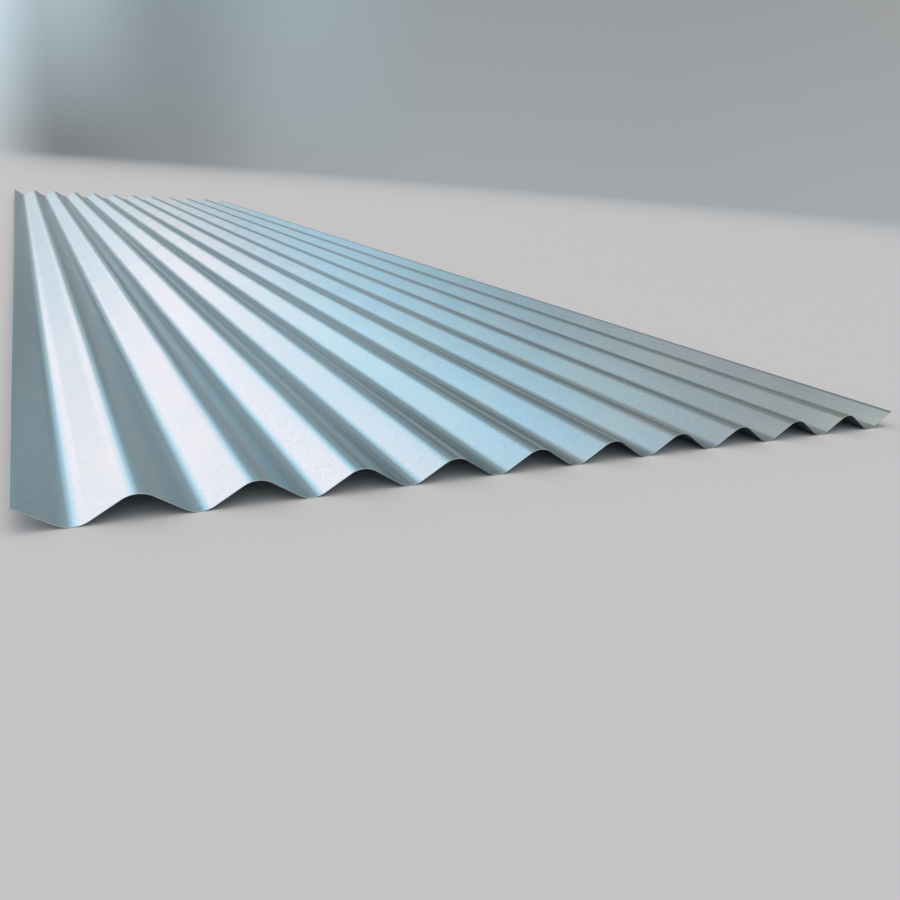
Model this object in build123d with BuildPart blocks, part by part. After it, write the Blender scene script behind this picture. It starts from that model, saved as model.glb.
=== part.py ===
from build123d import *
import os
from math import asin, atan2, cos, degrees, hypot, radians, sin, sqrt

# A corrugated sheet, roll formed from one length of thin galvanised steel coil.
# Millimetres. X runs across the corrugations, Y along them and Z is up.
# The origin is under the middle of the sheet, on the floor that its valleys rest on.

# Driving dimensions
PITCH = 76.2  # from one crest to the next
DEPTH = 18.0  # overall, from the underside of a valley to the top of a crest
THICKNESS = 0.5  # steel with its zinc coating
BEND_RADIUS = 17.75  # inside face of every bend, crests and valleys alike
CRESTS = 10  # whole crests between the two side edges
EDGE_LIP = 4.4  # how far each side edge runs on round the next crest's bend, past the flank
LENGTH = 3300.0  # cut length along the corrugations

# The section is a row of equal bends, up and down in turn, joined by straight flanks.
# A flank touches the two bends beside it on opposite sides, so its slope and its run
# follow from the distance between the centres of those bends.
OUTSIDE_RADIUS = BEND_RADIUS + THICKNESS
HALF_PITCH = PITCH / 2
CENTRE_RISE = DEPTH - 2 * OUTSIDE_RADIUS
CENTRE_DISTANCE = hypot(HALF_PITCH, CENTRE_RISE)
TOUCHING_RADII = BEND_RADIUS + OUTSIDE_RADIUS
FLANK_RUN = sqrt(CENTRE_DISTANCE**2 - TOUCHING_RADII**2)
FLANK_SLOPE = degrees(asin(TOUCHING_RADII / CENTRE_DISTANCE) + atan2(CENTRE_RISE, HALF_PITCH))

# Each side edge is cut a little way into the bend of a crest that is never finished.
LIP_TURN = degrees(EDGE_LIP / BEND_RADIUS)
EDGE_SLOPE = FLANK_SLOPE - LIP_TURN
EDGE_CREST_X = -(CRESTS + 1) * HALF_PITCH
EDGE_CREST_Z = DEPTH - OUTSIDE_RADIUS

# Between the two edges there is one valley more than there are crests.
WHOLE_BENDS = 2 * CRESTS + 1

with BuildPart() as corrugated_sheet:
    with BuildSketch(Plane.XZ):
        # The underside is drawn from the left edge to the right one. It runs round the
        # outside of each valley's bend and the inside of each crest's.
        with BuildLine():
            bend = JernArc(
                start=(
                    EDGE_CREST_X + BEND_RADIUS * sin(radians(EDGE_SLOPE)),
                    EDGE_CREST_Z + BEND_RADIUS * cos(radians(EDGE_SLOPE)),
                ),
                tangent=(cos(radians(EDGE_SLOPE)), -sin(radians(EDGE_SLOPE))),
                radius=BEND_RADIUS,
                arc_size=-LIP_TURN,
            )
            for number in range(WHOLE_BENDS):
                is_valley = number % 2 == 0
                flank = PolarLine(start=bend @ 1, length=FLANK_RUN, direction=bend % 1)
                bend = JernArc(
                    start=flank @ 1,
                    tangent=flank % 1,
                    radius=OUTSIDE_RADIUS if is_valley else BEND_RADIUS,
                    arc_size=2 * FLANK_SLOPE if is_valley else -2 * FLANK_SLOPE,
                )
            flank = PolarLine(start=bend @ 1, length=FLANK_RUN, direction=bend % 1)
            JernArc(start=flank @ 1, tangent=flank % 1, radius=BEND_RADIUS, arc_size=-LIP_TURN)
            # The top face is one thickness above it, and both edges are cut square.
            offset(amount=THICKNESS, side=Side.LEFT)
        make_face()
    extrude(amount=LENGTH / 2, both=True)

corrugated_sheet.part.label = "corrugated_sheet"

os.makedirs("parts", exist_ok=True)
export_step(corrugated_sheet.part, "parts/corrugated_sheet.step")

print(f"flank slope {FLANK_SLOPE:.2f} degrees, run {FLANK_RUN:.2f} mm")
print(f"size {corrugated_sheet.part.bounding_box().size}")
print(f"section {corrugated_sheet.part.volume / LENGTH:.2f} mm2")
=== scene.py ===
"""Looks of a corrugated galvanised steel sheet that lies flat on a pale studio floor."""
import logging
import math
from dataclasses import dataclass, field
from enum import Enum

import bpy
import numpy as np
from mathutils import Matrix, Vector


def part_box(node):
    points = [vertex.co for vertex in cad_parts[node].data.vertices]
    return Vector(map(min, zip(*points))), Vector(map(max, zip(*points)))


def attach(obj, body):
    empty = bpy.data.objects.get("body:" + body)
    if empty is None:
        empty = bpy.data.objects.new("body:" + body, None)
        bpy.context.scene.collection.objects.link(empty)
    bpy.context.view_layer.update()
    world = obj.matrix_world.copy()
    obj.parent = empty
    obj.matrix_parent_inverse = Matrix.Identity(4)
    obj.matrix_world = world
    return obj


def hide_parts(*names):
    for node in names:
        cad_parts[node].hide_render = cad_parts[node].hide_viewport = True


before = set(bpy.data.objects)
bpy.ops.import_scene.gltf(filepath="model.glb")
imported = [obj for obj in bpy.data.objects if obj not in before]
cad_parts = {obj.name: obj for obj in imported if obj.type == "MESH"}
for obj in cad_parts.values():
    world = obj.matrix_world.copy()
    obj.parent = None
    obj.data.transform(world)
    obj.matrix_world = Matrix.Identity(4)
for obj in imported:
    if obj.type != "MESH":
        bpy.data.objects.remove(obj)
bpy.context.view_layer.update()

logging.basicConfig(level=logging.INFO, format="%(name)s: %(message)s")
LOG = logging.getLogger("corrugated_sheet")

MM = 0.001
RIGHT_ANGLE = 90.0

# The sheet's own coordinates, kept on its mesh: metres across the flat strip, then along it.
STRIP = "rolled_strip"

Colour = tuple[float, float, float, float]


def linear(hex_colour: str, strength: float = 1.0) -> Colour:
    """Turn a colour written as sRGB hex into the linear values that shaders take.

    Args:
        hex_colour: six hex digits, such as "9aa3a8".
        strength: what the linear values are multiplied by, above one only for light.

    Returns:
        Red, green, blue and an alpha of one.
    """
    channels = [int(hex_colour[i : i + 2], 16) / 255 for i in (0, 2, 4)]
    straight = [c / 12.92 if c <= 0.04045 else ((c + 0.055) / 1.055) ** 2.4 for c in channels]
    red, green, blue = (strength * c for c in straight)
    return red, green, blue, 1.0


def add_node(
    tree: bpy.types.NodeTree,
    kind: str,
    settings: dict[str, object] | None = None,
    links: dict[str | int, object] | None = None,
) -> bpy.types.Node:
    """Add a shader node with its settings, and fill its inputs.

    Args:
        tree: the node tree that the node goes into.
        kind: Blender's name for the kind of node.
        settings: attributes of the node itself.
        links: for each input, by name or number, either a socket to link or a plain value.

    Returns:
        The new node.
    """
    node = tree.nodes.new(kind)
    for name, value in (settings or {}).items():
        setattr(node, name, value)
    for name, value in (links or {}).items():
        if isinstance(value, bpy.types.NodeSocket):
            tree.links.new(value, node.inputs[name])
        else:
            node.inputs[name].default_value = value
    return node


def empty_tree(owner: bpy.types.Material | bpy.types.World) -> bpy.types.NodeTree:
    """Switch on the nodes of a material or world and clear them.

    Args:
        owner: the material or world.

    Returns:
        Its empty node tree.
    """
    owner.use_nodes = True
    owner.node_tree.nodes.clear()
    return owner.node_tree


def link_object(name: str, mesh: bpy.types.Mesh) -> bpy.types.Object:
    """Put a mesh into the scene as an object at the origin.

    Args:
        name: the object's name.
        mesh: its mesh.

    Returns:
        The new object.
    """
    piece = bpy.data.objects.new(name, mesh)
    bpy.context.scene.collection.objects.link(piece)
    return piece


class Side(Enum):
    """The two faces of the sheet, by the way their normals point from its middle surface."""

    TOP = 1
    UNDER = -1


@dataclass(frozen=True)
class Corrugation:
    """The rolled section: equal bends, up and down in turn, joined by straight flanks.

    All lengths are in metres. A point of the middle surface is found from how far along the
    developed strip it lies, measured from the left edge.
    """

    pitch: float = 76.2 * MM
    depth: float = 18.0 * MM
    thickness: float = 0.5 * MM
    bend_radius: float = 17.75 * MM
    crests: int = 10
    edge_lip: float = 4.4 * MM

    @property
    def middle_radius(self) -> float:
        """Radius of every bend at the middle of the metal."""
        return self.bend_radius + self.thickness / 2

    @property
    def centre_rise(self) -> float:
        """Height from the centre of a valley's bend up to the centre of a crest's."""
        return self.depth - 2 * (self.bend_radius + self.thickness)

    @property
    def centre_distance(self) -> float:
        """Straight distance between the centres of two bends that follow each other."""
        return math.hypot(self.pitch / 2, self.centre_rise)

    @property
    def flank_slope(self) -> float:
        """Slope of a flank, in radians: the line that touches two bends on opposite sides."""
        tilt = math.atan2(self.centre_rise, self.pitch / 2)
        return math.asin(2 * self.middle_radius / self.centre_distance) + tilt

    @property
    def flank_run(self) -> float:
        """Length of a flank between its two bends."""
        return math.sqrt(self.centre_distance**2 - (2 * self.middle_radius) ** 2)

    def runs(self) -> np.ndarray:
        """List the bends and flanks from the left edge to the right one.

        Returns:
            One row for each: its length along the middle surface and its curvature, which is
            positive where the metal curls upwards.
        """
        lip = self.edge_lip * self.middle_radius / self.bend_radius
        bend = 2 * self.flank_slope * self.middle_radius
        rows = [(lip, -1.0)]
        for number in range(2 * self.crests + 1):
            rows += [(self.flank_run, 0.0), (bend, 1.0 if number % 2 == 0 else -1.0)]
        rows += [(self.flank_run, 0.0), (lip, -1.0)]
        return np.array(rows) / (1.0, self.middle_radius)

    @staticmethod
    def moved(
        heading: np.ndarray, curvature: np.ndarray, run: np.ndarray
    ) -> tuple[np.ndarray, np.ndarray]:
        """Follow a bend or a flank for a run.

        Round a bend of curvature k, entered at heading h, a run u goes
        (sin(h + ku) - sin h) / k across and (cos h - cos(h + ku)) / k upwards. Along a flank it
        goes u cos h and u sin h.

        Args:
            heading: slope of the path where the run starts, in radians.
            curvature: curvature of the path, nought on a flank.
            run: how far it is followed.

        Returns:
            How far across and how far up it goes.
        """
        straight = curvature == 0
        bent = np.where(straight, 1.0, curvature)
        turned = heading + bent * run
        bent_across = (np.sin(turned) - np.sin(heading)) / bent
        bent_up = (np.cos(heading) - np.cos(turned)) / bent
        across = np.where(straight, run * np.cos(heading), bent_across)
        up = np.where(straight, run * np.sin(heading), bent_up)
        return across, up

    def surface(self, along: np.ndarray) -> tuple[np.ndarray, np.ndarray, np.ndarray]:
        """Find points of the middle surface of the section, by adding up the runs before them.

        Args:
            along: distances along the developed strip from the left edge.

        Returns:
            Across, up and heading for each distance. Across is measured from the middle of the
            sheet, and up from the floor.
        """
        lengths, curvatures = self.runs().T
        ends = np.cumsum(lengths)
        starts = ends - lengths
        turns = np.cumsum(lengths * curvatures)
        edge_slope = self.flank_slope - lengths[0] / self.middle_radius
        headings = turns - lengths * curvatures - edge_slope
        run_across, run_up = self.moved(headings, curvatures, lengths)
        edge_across = -run_across.sum() / 2
        edge_up = self.depth - self.thickness / 2 - self.middle_radius * (1 - math.cos(edge_slope))
        corner_across = edge_across + np.cumsum(run_across) - run_across
        corner_up = edge_up + np.cumsum(run_up) - run_up
        here = np.clip(np.searchsorted(starts, along, side="right") - 1, 0, len(starts) - 1)
        past = along - starts[here]
        across, up = self.moved(headings[here], curvatures[here], past)
        heading = headings[here] + curvatures[here] * past
        return corner_across[here] + across, corner_up[here] + up, heading


@dataclass(frozen=True)
class GalvanisedSteel:
    """Hot-dip galvanised steel with a minimised spangle, as it leaves the coating line.

    The strip is drawn through molten zinc, wiped with jets of air and passed between rolls. The
    eye sees a cool, bluish grey metal that mirrors its surroundings softly, faint grains of zinc
    a few millimetres wide, and fine lines along the way it was rolled.
    """

    zinc: str = "c6d4d8"
    worn_zinc: str = "b9c8cc"
    dull_grain: str = "bccbcf"
    passivation: str = "c4cfce"
    roughness: float = 0.12
    # Grains, roll lines and clouds each roughen the zinc by up to this much more.
    roughened: float = 0.03
    # Minimised spangle is about 1 to 3 mm across, and the rolls' grinding marks are finer than
    # that: they are drawn at 2.2 mm to show.
    grain_mm: float = 2.6
    roll_line_mm: float = 2.2
    roll_line_depth: float = 0.01 * MM
    # The wiping jets leave bands a few centimetres wide along the strip. They take on up to this
    # share of the worn zinc's colour, where their noise rises between these two levels.
    wipe_band_mm: float = 24.0
    wipe_band_share: float = 0.7
    wipe_band_levels: tuple[float, float] = (0.3, 0.7)
    # Roll lines and wipe bands are drawn out lengthwise: their noise is squeezed by this much.
    lengthwise_squeeze: float = 0.012
    # The passivation bath dries in clouds about as large as a hand, between these two levels.
    cloud_mm: float = 90.0
    cloud_levels: tuple[float, float] = (0.45, 0.75)
    # The metal is very slightly dished between the marks of the rolls, which bends what it mirrors.
    dish_mm: float = 80.0
    dish_depth: float = 0.4 * MM

    def material(self) -> bpy.types.Material:
        """Build the material. Its patterns follow the flat strip, through the mesh's attribute."""
        finish = bpy.data.materials.new("hot_dip_galvanised_steel")
        tree = empty_tree(finish)
        strip = add_node(
            tree, "ShaderNodeAttribute", {"attribute_name": STRIP, "attribute_type": "GEOMETRY"}
        ).outputs["Vector"]
        drawn_out = add_node(
            tree,
            "ShaderNodeMapping",
            links={"Vector": strip, "Scale": (1.0, self.lengthwise_squeeze, 1.0)},
        ).outputs["Vector"]
        noises = {
            name: add_node(
                tree,
                "ShaderNodeTexNoise",
                links={"Vector": place, "Scale": 1 / (size_mm * MM), "Detail": detail},
            ).outputs["Fac"]
            for name, place, size_mm, detail in (
                ("clouds", strip, self.cloud_mm, 3.0),
                ("bands", drawn_out, self.wipe_band_mm, 2.0),
                ("lines", drawn_out, self.roll_line_mm, 2.0),
                ("dishes", strip, self.dish_mm, 0.0),
            )
        }
        grains = add_node(
            tree,
            "ShaderNodeTexVoronoi",
            links={"Vector": strip, "Scale": 1 / (self.grain_mm * MM)},
        ).outputs["Color"]
        grain = add_node(tree, "ShaderNodeSeparateColor", links={"Color": grains}).outputs["Red"]
        no_cloud, full_cloud = self.cloud_levels
        clouded = add_node(
            tree,
            "ShaderNodeMapRange",
            {"interpolation_type": "SMOOTHSTEP"},
            {"Value": noises["clouds"], "From Min": no_cloud, "From Max": full_cloud},
        ).outputs["Result"]
        no_band, full_band = self.wipe_band_levels
        banded = add_node(
            tree,
            "ShaderNodeMapRange",
            links={
                "Value": noises["bands"],
                "From Min": no_band,
                "From Max": full_band,
                "To Max": self.wipe_band_share,
            },
        ).outputs["Result"]
        colour = linear(self.zinc)
        for share, other in (
            (grain, self.dull_grain),
            (banded, self.worn_zinc),
            (clouded, self.passivation),
        ):
            colour = add_node(
                tree,
                "ShaderNodeMix",
                {"data_type": "RGBA"},
                {0: share, "A": colour, "B": linear(other)},
            ).outputs["Result"]
        rough = self.roughness
        for share in (grain, noises["lines"], clouded):
            rough = add_node(
                tree,
                "ShaderNodeMath",
                {"operation": "MULTIPLY_ADD"},
                {0: share, 1: self.roughened, 2: rough},
            ).outputs["Value"]
        dished = add_node(
            tree, "ShaderNodeBump", links={"Height": noises["dishes"], "Distance": self.dish_depth}
        ).outputs["Normal"]
        relief = add_node(
            tree,
            "ShaderNodeBump",
            links={
                "Height": noises["lines"],
                "Distance": self.roll_line_depth,
                "Normal": dished,
            },
        ).outputs["Normal"]
        shader = add_node(
            tree,
            "ShaderNodeBsdfPrincipled",
            links={"Base Color": colour, "Metallic": 1.0, "Roughness": rough, "Normal": relief},
        ).outputs["BSDF"]
        add_node(tree, "ShaderNodeOutputMaterial", links={"Surface": shader})
        return finish


@dataclass(frozen=True)
class ShearedEdge:
    """Sheared steel edge: bare grey steel, scored by the blade, so that it mirrors only dully. Its
    grey is darker than bare steel's, as painted shade for the dark shadow line along the cut.
    """

    # Bare steel's grey, darkened further as painted shade for the shadow line that runs along the
    # cut.
    steel: str = "8e9193"
    roughness: float = 0.45
    # The blade's score marks are about a millimetre apart, and vary the roughness by this much.
    score_mm: float = 1.1
    scored: float = 0.12

    def material(self) -> bpy.types.Material:
        """Build the material, with score marks whose shine varies along the cut."""
        finish = bpy.data.materials.new("sheared_edge_with_painted_shade")
        tree = empty_tree(finish)
        place = add_node(tree, "ShaderNodeTexCoord").outputs["Object"]
        scores = add_node(
            tree,
            "ShaderNodeTexNoise",
            links={"Vector": place, "Scale": 1 / (self.score_mm * MM), "Detail": 2.0},
        ).outputs["Fac"]
        rough = add_node(
            tree,
            "ShaderNodeMapRange",
            links={
                "Value": scores,
                "To Min": self.roughness - self.scored,
                "To Max": self.roughness + self.scored,
            },
        ).outputs["Result"]
        shader = add_node(
            tree,
            "ShaderNodeBsdfPrincipled",
            # The base colour is partly painted shade: it is darker than bare steel, to stand for
            # the shadow line along the cut.
            links={"Base Color": linear(self.steel), "Metallic": 1.0, "Roughness": rough},
        ).outputs["BSDF"]
        add_node(tree, "ShaderNodeOutputMaterial", links={"Surface": shader})
        return finish


@dataclass
class CorrugatedSheet:
    """The one piece of the object: a rolled sheet with two faces, four cut edges and its finish."""

    section: Corrugation = field(default_factory=Corrugation)
    finish: GalvanisedSteel = field(default_factory=GalvanisedSteel)
    edge: ShearedEdge = field(default_factory=ShearedEdge)
    node: str = "corrugated_sheet"
    # The shears round off the rim of each cut over this much.
    rollover: float = 0.12 * MM
    # A rolled sheet is never quite true: its crests wander and rise and fall by this much, as
    # the sum of three waves. Each has its length in metres, its drift across the sheet and its
    # share. The rise and fall has its own, shorter waves.
    wander: float = 0.25 * MM
    waves: tuple[tuple[float, float, float], ...] = (
        (0.61, 0.9, 0.5),
        (0.233, 2.1, 0.3),
        (0.127, 3.7, 0.2),
    )
    rise_shortening: float = 0.83
    # The wander dies out towards the side edges, and the higher this power, the nearer to them.
    calm_power: int = 8
    # The two faces take their patterns from places this many metres apart, so that they differ.
    pattern_gap: float = 3.0
    # Edges that turn by more degrees than this are shaded as sharp ones.
    sharp_turn: float = 30.0
    bend_steps: int = 14
    length_steps: int = 84
    # A narrow strip beside each bend keeps the shading of the flat flank flat.
    flank_shares: tuple[float, ...] = (0.0, 0.05, 0.5, 0.95)

    def stations(self) -> np.ndarray:
        """Choose places along the developed strip: even ones round bends, few along flanks.

        Returns:
            Distances from the left edge, with one more beside each edge for its rolled rim.
        """
        lengths, curvatures = self.section.runs().T
        starts = np.cumsum(lengths) - lengths
        bend_shares = np.arange(self.bend_steps) / self.bend_steps
        shares = [self.flank_shares if curve == 0 else bend_shares for curve in curvatures]
        places = [
            start + length * np.asarray(share)
            for start, length, share in zip(starts, lengths, shares)
        ]
        total = lengths.sum()
        rims = [self.rollover, total - self.rollover, total]
        return np.unique(np.concatenate([*places, rims]))

    def rows(self) -> np.ndarray:
        """Choose places along the corrugations, with one more beside each end for its rim.

        Returns:
            Distances along the corrugations from the middle of the sheet.
        """
        low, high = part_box(self.node)
        even = np.linspace(low[1], high[1], self.length_steps + 1)
        return np.unique(np.concatenate([even, [low[1] + self.rollover, high[1] - self.rollover]]))

    def unevenness(
        self, along: np.ndarray, lengthwise: np.ndarray
    ) -> tuple[np.ndarray, np.ndarray]:
        """Work out how far the rolled shape strays from the true one.

        Sideways it is a sum of three slow waves along the sheet whose phases drift from one
        corrugation to the next. In height it is another such sum, between nought and one.

        Args:
            along: distances along the developed strip.
            lengthwise: distances along the corrugations.

        Returns:
            Two grids: the sideways stray in metres and the loss of height, as a share of wander.
        """
        across, length = np.meshgrid(along, lengthwise)
        sideways = sum(
            share * np.sin(2 * math.pi * (length / wave + across * drift) + drift)
            for wave, drift, share in self.waves
        )
        shortened = self.rise_shortening
        height = sum(
            share * np.sin(2 * math.pi * (length / (shortened * wave) - across * drift) + 2 * drift)
            for wave, drift, share in self.waves
        )
        return self.wander * sideways, 0.5 + 0.5 * height

    def face_points(self, side: Side, along: np.ndarray, lengthwise: np.ndarray) -> np.ndarray:
        """Place the grid of points of one face.

        Each point is the middle surface's, moved half the thickness along the normal, which for a
        heading h is (-sin h, 0, cos h). On the rim of a cut it is moved less, by the rollover.
        The uneven rolling then shifts it sideways and lowers it in proportion to its height, so
        that the valleys stay on the floor, and both fade out at the two side edges.

        Args:
            side: which face.
            along: distances along the developed strip.
            lengthwise: distances along the corrugations.

        Returns:
            An array of points, one row for each lengthwise place and station in turn.
        """
        section = self.section
        across, up, heading = section.surface(along)
        lift = np.full((len(lengthwise), len(along)), section.thickness / 2)
        lift[[0, -1], :] -= self.rollover
        lift[1:-1, [0, -1]] -= self.rollover
        lift *= side.value
        sideways, lost = self.unevenness(along, lengthwise)
        inside = 1 - (2 * across / (across[-1] - across[0])) ** self.calm_power
        points = np.empty((*lift.shape, 3))
        points[..., 0] = across + sideways * inside - lift * np.sin(heading)
        points[..., 1] = lengthwise[:, None]
        points[..., 2] = up + lift * np.cos(heading)
        points[..., 2] *= 1 - lost * inside * self.wander / section.depth
        return points.reshape(-1, 3)

    def build(self) -> bpy.types.Object:
        """Make the sheet as one closed mesh on two grids, and dress it.

        Returns:
            The finished object, riding on its body, with the part's own mesh hidden.
        """
        along, lengthwise = self.stations(), self.rows()
        columns, rows = len(along), len(lengthwise)
        points = np.concatenate([self.face_points(side, along, lengthwise) for side in Side])
        top = np.arange(rows * columns).reshape(rows, columns)
        under = top + rows * columns
        faces = np.concatenate(
            [
                self.quads(top[:-1, :-1], top[:-1, 1:], top[1:, 1:], top[1:, :-1]),
                self.quads(under[:-1, :-1], under[1:, :-1], under[1:, 1:], under[:-1, 1:]),
                self.quads(under[0, :-1], under[0, 1:], top[0, 1:], top[0, :-1]),
                self.quads(top[-1, :-1], top[-1, 1:], under[-1, 1:], under[-1, :-1]),
                self.quads(under[:-1, 0], top[:-1, 0], top[1:, 0], under[1:, 0]),
                self.quads(top[:-1, -1], under[:-1, -1], under[1:, -1], top[1:, -1]),
            ]
        )
        mesh = bpy.data.meshes.new(self.node + "_rolled")
        mesh.from_pydata(points.tolist(), [], faces.tolist())
        flat = np.zeros((len(points), 3))
        flat[:, 0] = np.tile(along, 2 * rows)
        flat[:, 1] = points[:, 1]
        flat[:, 2] = self.pattern_gap * (np.arange(len(points)) >= rows * columns)
        mesh.attributes.new(STRIP, "FLOAT_VECTOR", "POINT").data.foreach_set("vector", flat.ravel())
        slots = np.zeros(len(faces), dtype=np.int32)
        slots[2 * (rows - 1) * (columns - 1) :] = 1
        mesh.materials.append(self.finish.material())
        mesh.materials.append(self.edge.material())
        mesh.polygons.foreach_set("material_index", slots)
        mesh.polygons.foreach_set("use_smooth", np.ones(len(faces), dtype=bool))
        mesh.set_sharp_from_angle(angle=math.radians(self.sharp_turn))
        mesh.update()
        sheet = link_object("rolled_sheet", mesh)
        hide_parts(self.node)
        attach(sheet, "root")
        LOG.info("rolled sheet: %d points, %d faces", len(points), len(faces))
        return sheet

    @staticmethod
    def quads(*corners: np.ndarray) -> np.ndarray:
        """Join four like arrays of point numbers into faces of four corners each."""
        return np.stack([corner.ravel() for corner in corners], axis=-1)


class Tint(Enum):
    """Colours of the studio's light: plain white, rosy, four blues, greenish and warm."""

    WHITE = "ffffff"
    FROSTED = "fff1f7"
    DAYLIGHT = "f0f4ff"
    HAZE = "e8f1f6"
    SKY = "ddf4ff"
    CLEAR_SKY = "c7eaff"
    SHADE = "f4fff7"
    LAMP = "fff2ea"


@dataclass(frozen=True)
class Glow:
    """Light that comes from one height of a wall, whose elevation is in degrees."""

    elevation: float
    tint: Tint
    strength: float


@dataclass(frozen=True)
class Wall:
    """How the studio glows in one direction, from the floor up to overhead.

    The azimuth is in degrees to the right of the far end of the sheet, and is where the wall is
    fully seen. Between two walls the light passes smoothly from one to the next.
    """

    azimuth: float
    glows: tuple[Glow, ...]

    def ramp(self, tree: bpy.types.NodeTree, height: bpy.types.NodeSocket) -> bpy.types.NodeSocket:
        """Add this wall's light as a colour ramp.

        Args:
            tree: the world's node tree.
            height: the elevation of a direction, as a share of a right angle.

        Returns:
            The socket with the wall's colour.
        """
        node = add_node(tree, "ShaderNodeValToRGB", links={0: height})
        stops = node.color_ramp.elements
        while len(stops) < len(self.glows):
            stops.new(1.0)
        for stop, glow in zip(stops, self.glows):
            stop.position = glow.elevation / RIGHT_ANGLE
            stop.color = linear(glow.tint.value, glow.strength)
        return node.outputs["Color"]


# What the walls give off, from the floor up. Tall windows on the left and dim walls on the
# right give the sheet its white and dark bands, as the photograph shows them.
HORIZON = (Glow(0, Tint.HAZE, 0.44), Glow(12, Tint.HAZE, 0.38))
OVERHEAD = (Glow(64, Tint.LAMP, 1.25), Glow(76, Tint.LAMP, 2.45))
WINDOW_WALL = (
    Glow(0, Tint.HAZE, 0.70),
    Glow(6, Tint.DAYLIGHT, 1.10),
    Glow(12, Tint.FROSTED, 1.46),
    Glow(30, Tint.FROSTED, 1.51),
    Glow(42, Tint.SKY, 1.15),
    Glow(54, Tint.DAYLIGHT, 0.90),
    *OVERHEAD,
)
WINDOW_SIDE = (
    Glow(0, Tint.HAZE, 0.70),
    Glow(6, Tint.SKY, 1.00),
    Glow(12, Tint.FROSTED, 1.38),
    Glow(24, Tint.SKY, 1.31),
    Glow(36, Tint.CLEAR_SKY, 1.25),
    Glow(54, Tint.DAYLIGHT, 0.88),
    *OVERHEAD,
)
WINDOW_END = (
    Glow(0, Tint.HAZE, 0.26),
    Glow(12, Tint.SKY, 0.70),
    Glow(20, Tint.CLEAR_SKY, 1.03),
    Glow(42, Tint.SKY, 0.90),
    Glow(54, Tint.DAYLIGHT, 0.68),
    *OVERHEAD,
)
CORNER = (
    Glow(0, Tint.HAZE, 0.31),
    Glow(12, Tint.SKY, 0.36),
    Glow(20, Tint.SKY, 0.55),
    Glow(30, Tint.SKY, 0.50),
    Glow(42, Tint.WHITE, 0.58),
    Glow(54, Tint.WHITE, 0.57),
    *OVERHEAD,
)
PALE_WALL = (
    Glow(0, Tint.HAZE, 0.42),
    Glow(12, Tint.SKY, 0.45),
    Glow(20, Tint.SKY, 0.48),
    Glow(30, Tint.SKY, 0.44),
    Glow(42, Tint.DAYLIGHT, 0.52),
    Glow(54, Tint.WHITE, 0.45),
    *OVERHEAD,
)
SHADED_WALL = (
    *HORIZON,
    Glow(20, Tint.SKY, 0.26),
    Glow(30, Tint.SKY, 0.34),
    Glow(42, Tint.DAYLIGHT, 0.40),
    Glow(54, Tint.WHITE, 0.30),
    *OVERHEAD,
)
DIM_WALL = (
    *HORIZON,
    Glow(20, Tint.SHADE, 0.21),
    Glow(42, Tint.SHADE, 0.36),
    Glow(54, Tint.WHITE, 0.27),
    *OVERHEAD,
)
WARM_WALL = (
    Glow(0, Tint.HAZE, 0.46),
    Glow(12, Tint.WHITE, 0.35),
    Glow(20, Tint.LAMP, 0.25),
    Glow(42, Tint.SHADE, 0.36),
    Glow(54, Tint.WHITE, 0.27),
    *OVERHEAD,
)
BACK_WALL = (
    *HORIZON,
    Glow(20, Tint.SHADE, 0.35),
    Glow(42, Tint.DAYLIGHT, 1.10),
    Glow(54, Tint.WHITE, 1.30),
    *OVERHEAD,
)


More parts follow.
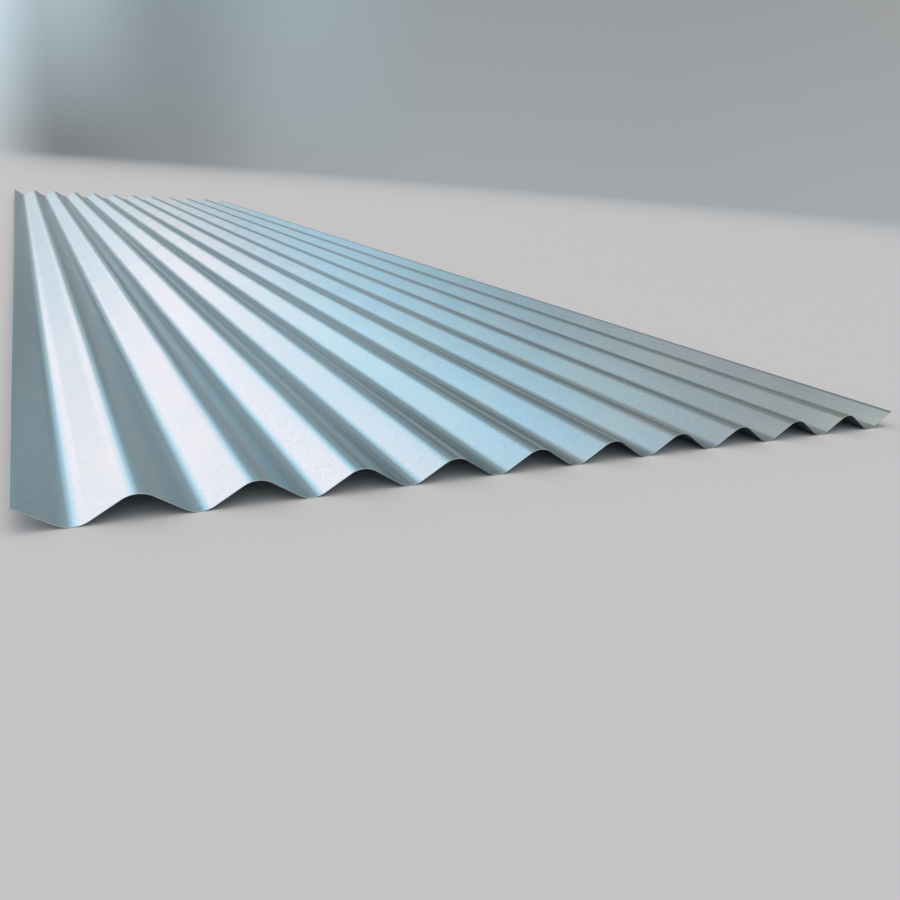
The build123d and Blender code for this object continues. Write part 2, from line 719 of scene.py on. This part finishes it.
@dataclass
class Studio:
    """A pale floor, and soft light from the walls round it."""

    walls: tuple[Wall, ...] = (
        Wall(-110, BACK_WALL),
        Wall(-50, WINDOW_WALL),
        Wall(-13, WINDOW_WALL),
        Wall(-3, WINDOW_SIDE),
        Wall(2.5, WINDOW_END),
        Wall(9, CORNER),
        Wall(17, PALE_WALL),
        Wall(27, SHADED_WALL),
        Wall(40, DIM_WALL),
        Wall(60, WARM_WALL),
        Wall(110, BACK_WALL),
    )
    floor_colour: str = "c2c4c5"
    floor_roughness: float = 0.9
    floor_specular: float = 0.2
    # Metres from the middle of the sheet to the floor's rim, and to where its fade starts and ends.
    floor_reach: float = 40.0
    fade_start: float = 2.0
    fade_end: float = 15.0

    def floor(self) -> bpy.types.Object:
        """Lay a plain floor that fades into the walls' light far from the sheet."""
        reach = self.floor_reach
        corners = [(-reach, -reach, 0), (reach, -reach, 0), (reach, reach, 0), (-reach, reach, 0)]
        mesh = bpy.data.meshes.new("studio_floor")
        mesh.from_pydata(corners, [], [(0, 1, 2, 3)])
        paint = bpy.data.materials.new("matt_floor_paint")
        tree = empty_tree(paint)
        place = add_node(tree, "ShaderNodeTexCoord").outputs["Object"]
        distance = add_node(
            tree, "ShaderNodeVectorMath", {"operation": "LENGTH"}, {0: place}
        ).outputs["Value"]
        faded = add_node(
            tree,
            "ShaderNodeMapRange",
            {"interpolation_type": "SMOOTHSTEP"},
            {"Value": distance, "From Min": self.fade_start, "From Max": self.fade_end},
        ).outputs["Result"]
        matt = add_node(
            tree,
            "ShaderNodeBsdfPrincipled",
            links={
                "Base Color": linear(self.floor_colour),
                "Roughness": self.floor_roughness,
                "Specular IOR Level": self.floor_specular,
            },
        ).outputs["BSDF"]
        clear = add_node(tree, "ShaderNodeBsdfTransparent").outputs["BSDF"]
        mixed = add_node(
            tree, "ShaderNodeMixShader", links={0: faded, 1: matt, 2: clear}
        ).outputs["Shader"]
        add_node(tree, "ShaderNodeOutputMaterial", links={"Surface": mixed})
        mesh.materials.append(paint)
        floor = link_object("studio_floor", mesh)
        LOG.info("floor: matt paint, %.0f m across", 2 * reach)
        return floor

    def light(self) -> bpy.types.World:
        """Light the scene from the walls, whose colours change with height and direction."""
        world = bpy.data.worlds.new("studio_walls")
        bpy.context.scene.world = world
        tree = empty_tree(world)
        direction = add_node(tree, "ShaderNodeTexCoord").outputs["Generated"]
        split = add_node(tree, "ShaderNodeSeparateXYZ", links={0: direction}).outputs
        azimuth = add_node(
            tree, "ShaderNodeMath", {"operation": "ARCTAN2"}, {0: split["X"], 1: split["Y"]}
        ).outputs["Value"]
        elevation = add_node(
            tree, "ShaderNodeMath", {"operation": "ARCSINE"}, {0: split["Z"]}
        ).outputs["Value"]
        height = add_node(
            tree,
            "ShaderNodeMath",
            {"operation": "DIVIDE"},
            {0: elevation, 1: math.pi / 2},
        ).outputs["Value"]
        colour = self.walls[0].ramp(tree, height)
        for wall, following in zip(self.walls, self.walls[1:]):
            passed = add_node(
                tree,
                "ShaderNodeMapRange",
                {"interpolation_type": "SMOOTHSTEP"},
                {
                    "Value": azimuth,
                    "From Min": math.radians(wall.azimuth),
                    "From Max": math.radians(following.azimuth),
                },
            ).outputs["Result"]
            colour = add_node(
                tree,
                "ShaderNodeMix",
                {"data_type": "RGBA"},
                {0: passed, "A": colour, "B": following.ramp(tree, height)},
            ).outputs["Result"]
        glow = add_node(tree, "ShaderNodeBackground", links={"Color": colour}).outputs["Background"]
        add_node(tree, "ShaderNodeOutputWorld", links={"Surface": glow})
        LOG.info("light: %d walls", len(self.walls))
        return world


@dataclass
class Viewpoint:
    """The camera, at the photograph's place and angle over the near left corner.

    The place is in metres and the turns are in degrees. They and the focal length come from a
    fit to the photograph's outlines.
    """

    eye: tuple[float, float, float] = (-0.3900, -2.1345, 0.2231)
    yaw: float = -28.97
    pitch: float = -19.64
    roll: float = -4.62
    focal_pixels: float = 780.1
    picture_pixels: float = 900.0
    sensor_mm: float = 36.0
    nearest: float = 0.01
    farthest: float = 200.0

    def place(self) -> bpy.types.Object:
        """Make the camera: tipped down and rolled about its view, then turned about Z.

        Returns:
            The camera's object, which is also the scene's camera.
        """
        data = bpy.data.cameras.new("camera")
        data.sensor_width = self.sensor_mm
        data.lens = self.focal_pixels / self.picture_pixels * self.sensor_mm
        data.clip_start, data.clip_end = self.nearest, self.farthest
        camera = bpy.data.objects.new("camera", data)
        turns = ((self.yaw, "Z"), (self.pitch, "X"), (self.roll, "Y"), (RIGHT_ANGLE, "X"))
        facing = Matrix.Identity(4)
        for degrees, axis in turns:
            facing = facing @ Matrix.Rotation(math.radians(degrees), 4, axis)
        camera.matrix_world = Matrix.Translation(Vector(self.eye)) @ facing
        bpy.context.scene.collection.objects.link(camera)
        bpy.context.scene.camera = camera
        return camera


def main() -> None:
    """Build the sheet, its studio and the camera."""
    bpy.context.scene.view_settings.view_transform = "Standard"
    CorrugatedSheet().build()
    studio = Studio()
    studio.floor()
    studio.light()
    Viewpoint().place()
    bpy.context.view_layer.update()


if __name__ == "__main__":
    main()
